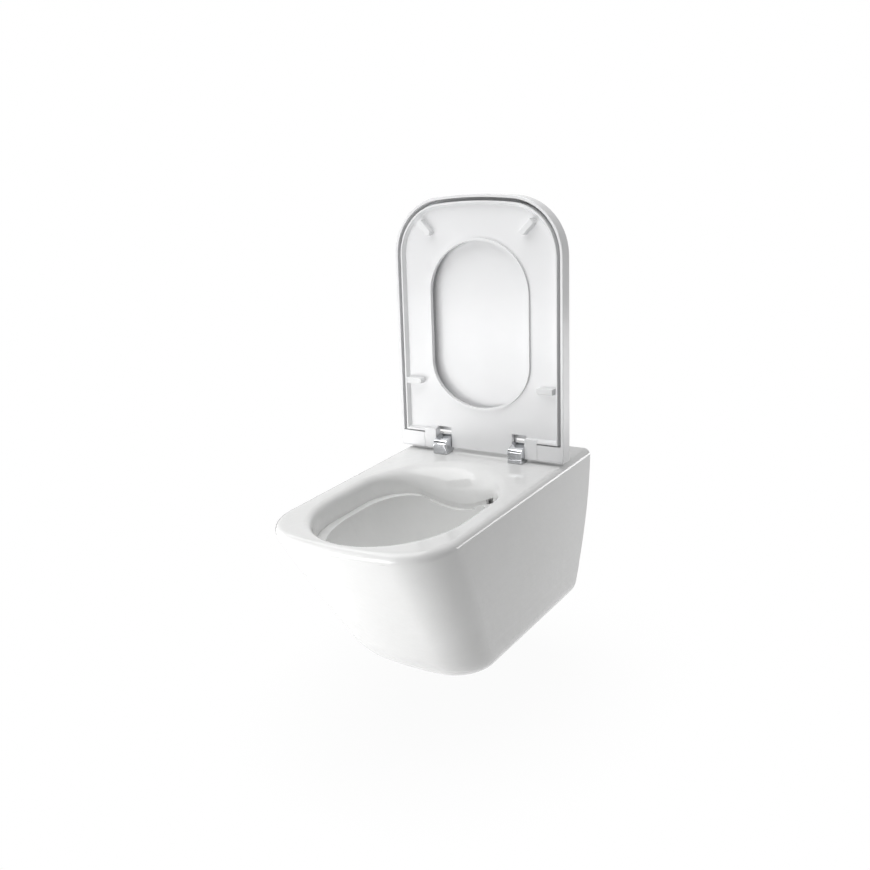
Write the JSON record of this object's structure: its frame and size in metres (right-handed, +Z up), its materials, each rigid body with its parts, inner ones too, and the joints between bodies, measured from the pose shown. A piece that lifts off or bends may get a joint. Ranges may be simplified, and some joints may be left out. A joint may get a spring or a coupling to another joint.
{
  "type": "wall hung toilet",
  "caption": "Rimless wall-hung toilet with a D-shaped soft-close seat and wrap-over cover, both standing open on chrome hinge posts.",
  "frame": {"origin": "on the wall plane, midway between the two wall rods", "axes": "+Z up, -Y out of the wall towards the user, +X to the right of someone who faces the pan"},
  "size_m": [0.3464, 0.5584, 0.8023],
  "materials": {
    "ceramic": "gloss glaze",
    "duroplast": "polished",
    "chrome": "polished",
    "steel": "satin",
    "rubber": "matte",
    "soft_plastic": "soft, matte",
    "fixing_plastic": "moulded"
  },
  "bodies": {
    "pan_set": {"pan": "ceramic", "wall_fixing_block_left": "fixing_plastic", "wall_fixing_block_right": "fixing_plastic", "wall_clamp_screws": "steel", "hinge_post_left": "chrome", "hinge_post_right": "chrome", "hinge_pin_left": "steel", "hinge_pin_right": "steel", "hinge_gaskets": "rubber", "hinge_studs": "steel", "hinge_expansion_sleeves": "rubber", "hinge_cone_nuts": "fixing_plastic"},
    "seat_set": {"seat": "duroplast", "seat_bumper_front_left": "soft_plastic", "seat_bumper_front_right": "soft_plastic", "seat_bumper_rear_left": "soft_plastic", "seat_bumper_rear_right": "soft_plastic", "seat_bush_left": "fixing_plastic", "seat_damper_right": "fixing_plastic"},
    "cover_set": {"cover": "duroplast", "cover_damper_left": "fixing_plastic", "cover_bush_right": "fixing_plastic", "cover_pads": "soft_plastic"}
  },
  "joints": [
    {"name": "cover_hinge", "type": "hinge", "parent": "pan_set", "child": "cover_set", "pos_m": [0, -0.0995, 0.09925], "axis": [1, 0, 0], "range_deg": [0, 94.86]},
    {"name": "seat_hinge", "type": "hinge", "parent": "pan_set", "child": "seat_set", "pos_m": [0, -0.0995, 0.09925], "axis": [1, 0, 0], "range_deg": [0, 94.86]}
  ],
  "couplings": [
    {"joint": "seat_hinge", "follows": "cover_hinge", "ratio": 1}
  ]
}
